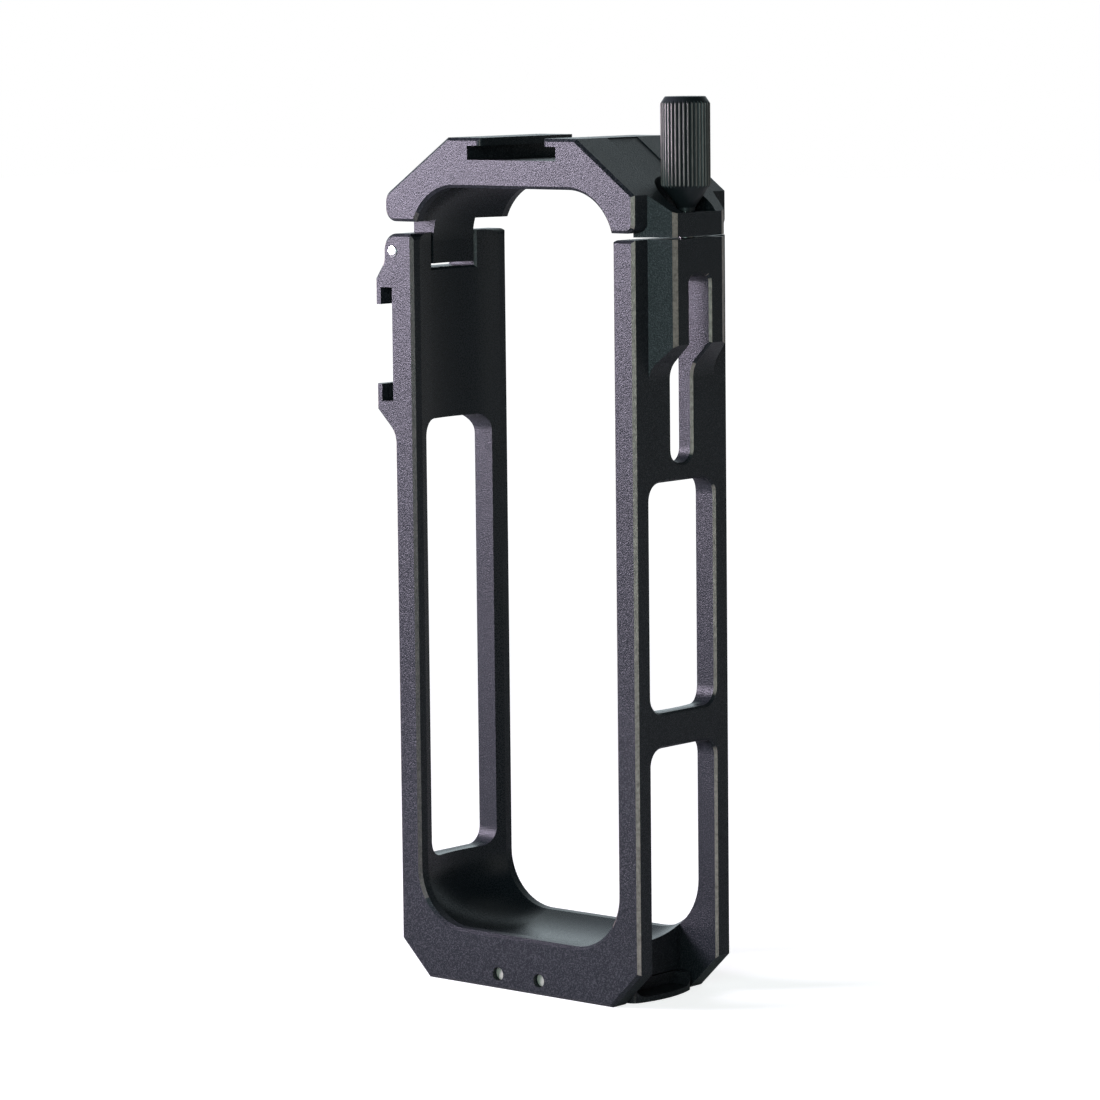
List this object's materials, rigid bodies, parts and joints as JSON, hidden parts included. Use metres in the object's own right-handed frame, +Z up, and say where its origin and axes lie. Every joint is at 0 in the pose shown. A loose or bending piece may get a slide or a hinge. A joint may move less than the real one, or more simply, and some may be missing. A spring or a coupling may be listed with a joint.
{
  "type": "camera cage",
  "caption": "Tall slim metal frame for a pocket camera, with a hinged top gate, fluted locking knob, two cold shoes and folding claws.",
  "frame": {"origin": "centre of the bottom face of the main frame, between the two claws", "axes": "+X towards the side with the locking knob, -Y is the front, +Z up along the camera's height"},
  "size_m": [0.0612, 0.0244, 0.1476],
  "materials": {
    "frame_anodised": "bead blasted, black anodised",
    "gate_anodised": "bead blasted, black anodised",
    "claw_anodised": "bead blasted, black anodised",
    "knob_anodised": "turned, black anodised",
    "pin_steel": "ground",
    "stud_steel": "turned",
    "magnet_plate": "nickel plated"
  },
  "bodies": {
    "frame": {"main_frame": "frame_anodised", "gate_hinge_pin": "pin_steel", "claw_pin_right": "pin_steel", "claw_pin_left": "pin_steel", "base_magnet_right": "magnet_plate", "base_magnet_left": "magnet_plate"},
    "gate": {"top_gate": "gate_anodised"},
    "stud": {"knob_stud": "stud_steel"},
    "knob": {"thumb_knob": "knob_anodised"},
    "right_claw": {"claw_right": "claw_anodised", "claw_magnet_right": "magnet_plate"},
    "left_claw": {"claw_left": "claw_anodised", "claw_magnet_left": "magnet_plate"}
  },
  "joints": [
    {"name": "gate_hinge", "type": "hinge", "parent": "frame", "child": "gate", "pos_m": [-0.02585, 0, 0.122], "axis": [0, -1, 0], "range_deg": [0, 110]},
    {"name": "knob_lift", "type": "slide", "parent": "gate", "child": "stud", "axis": [0, 0, 1], "range_m": [0, 0.004]},
    {"name": "knob_turn", "type": "hinge", "parent": "stud", "child": "knob", "pos_m": [0.02715, 0, 0.14], "axis": [0, 0, 1], "range_deg": [0, 2890]},
    {"name": "right_claw_hinge", "type": "hinge", "parent": "frame", "child": "right_claw", "pos_m": [0.00445, 0, 0.0025], "axis": [0, 1, 0], "range_deg": [0, 90]},
    {"name": "left_claw_hinge", "type": "hinge", "parent": "frame", "child": "left_claw", "pos_m": [-0.00445, 0, 0.0025], "axis": [0, -1, 0], "range_deg": [0, 90]}
  ],
  "couplings": [
    {"joint": "knob_turn", "follows": "knob_lift", "rad_per_m": 12566}
  ]
}
